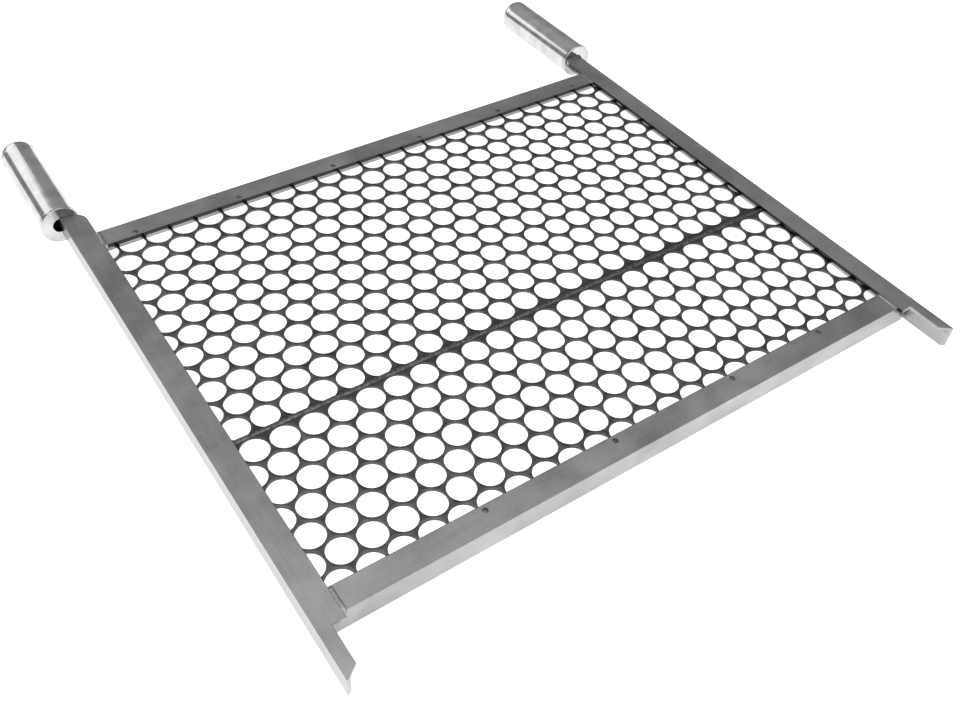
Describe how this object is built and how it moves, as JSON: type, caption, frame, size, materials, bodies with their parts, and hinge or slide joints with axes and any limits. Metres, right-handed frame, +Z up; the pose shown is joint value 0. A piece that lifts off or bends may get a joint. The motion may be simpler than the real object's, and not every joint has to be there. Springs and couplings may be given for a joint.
{
  "type": "barbecue grill grate",
  "caption": "Flat barbecue grate of round-holed steel mesh in a welded angle frame, with two short near tongues and two round tube handles.",
  "frame": {"origin": "centre of the grate's footprint, on the surface that it lies on", "axes": "+X to the right along the bars, +Y from the near tongues to the handles, +Z up through the cooking surface"},
  "size_m": [0.564, 0.5874, 0.032],
  "materials": {
    "frame_steel": "bright rolled stainless steel angle, polished lengthways",
    "mesh_steel": "punched stainless steel sheet, mill finish",
    "weld_metal": "stainless weld metal, wire-brushed",
    "handle_metal": "polished aluminium",
    "pin_steel": "steel pin, ground flush"
  },
  "bodies": {
    "root": {"left_rail": "frame_steel", "right_rail": "frame_steel", "near_bar": "frame_steel", "far_bar": "frame_steel", "front_mesh_sheet": "mesh_steel", "rear_mesh_sheet": "mesh_steel", "seam_weld": "weld_metal", "near_left_corner_weld": "weld_metal", "near_right_corner_weld": "weld_metal", "far_left_corner_weld": "weld_metal", "far_right_corner_weld": "weld_metal", "far_plug_weld_1": "weld_metal", "far_plug_weld_2": "weld_metal", "far_plug_weld_3": "weld_metal", "far_plug_weld_4": "weld_metal", "far_plug_weld_5": "weld_metal", "far_plug_weld_6": "weld_metal", "near_plug_weld_1": "weld_metal", "near_plug_weld_2": "weld_metal", "near_plug_weld_3": "weld_metal", "near_plug_weld_4": "weld_metal", "left_handle_ferrule": "handle_metal", "right_handle_ferrule": "handle_metal", "left_handle_tube": "handle_metal", "right_handle_tube": "handle_metal", "left_handle_cap": "handle_metal", "right_handle_cap": "handle_metal", "left_handle_pin": "pin_steel", "right_handle_pin": "pin_steel"}
  },
  "joints": []
}
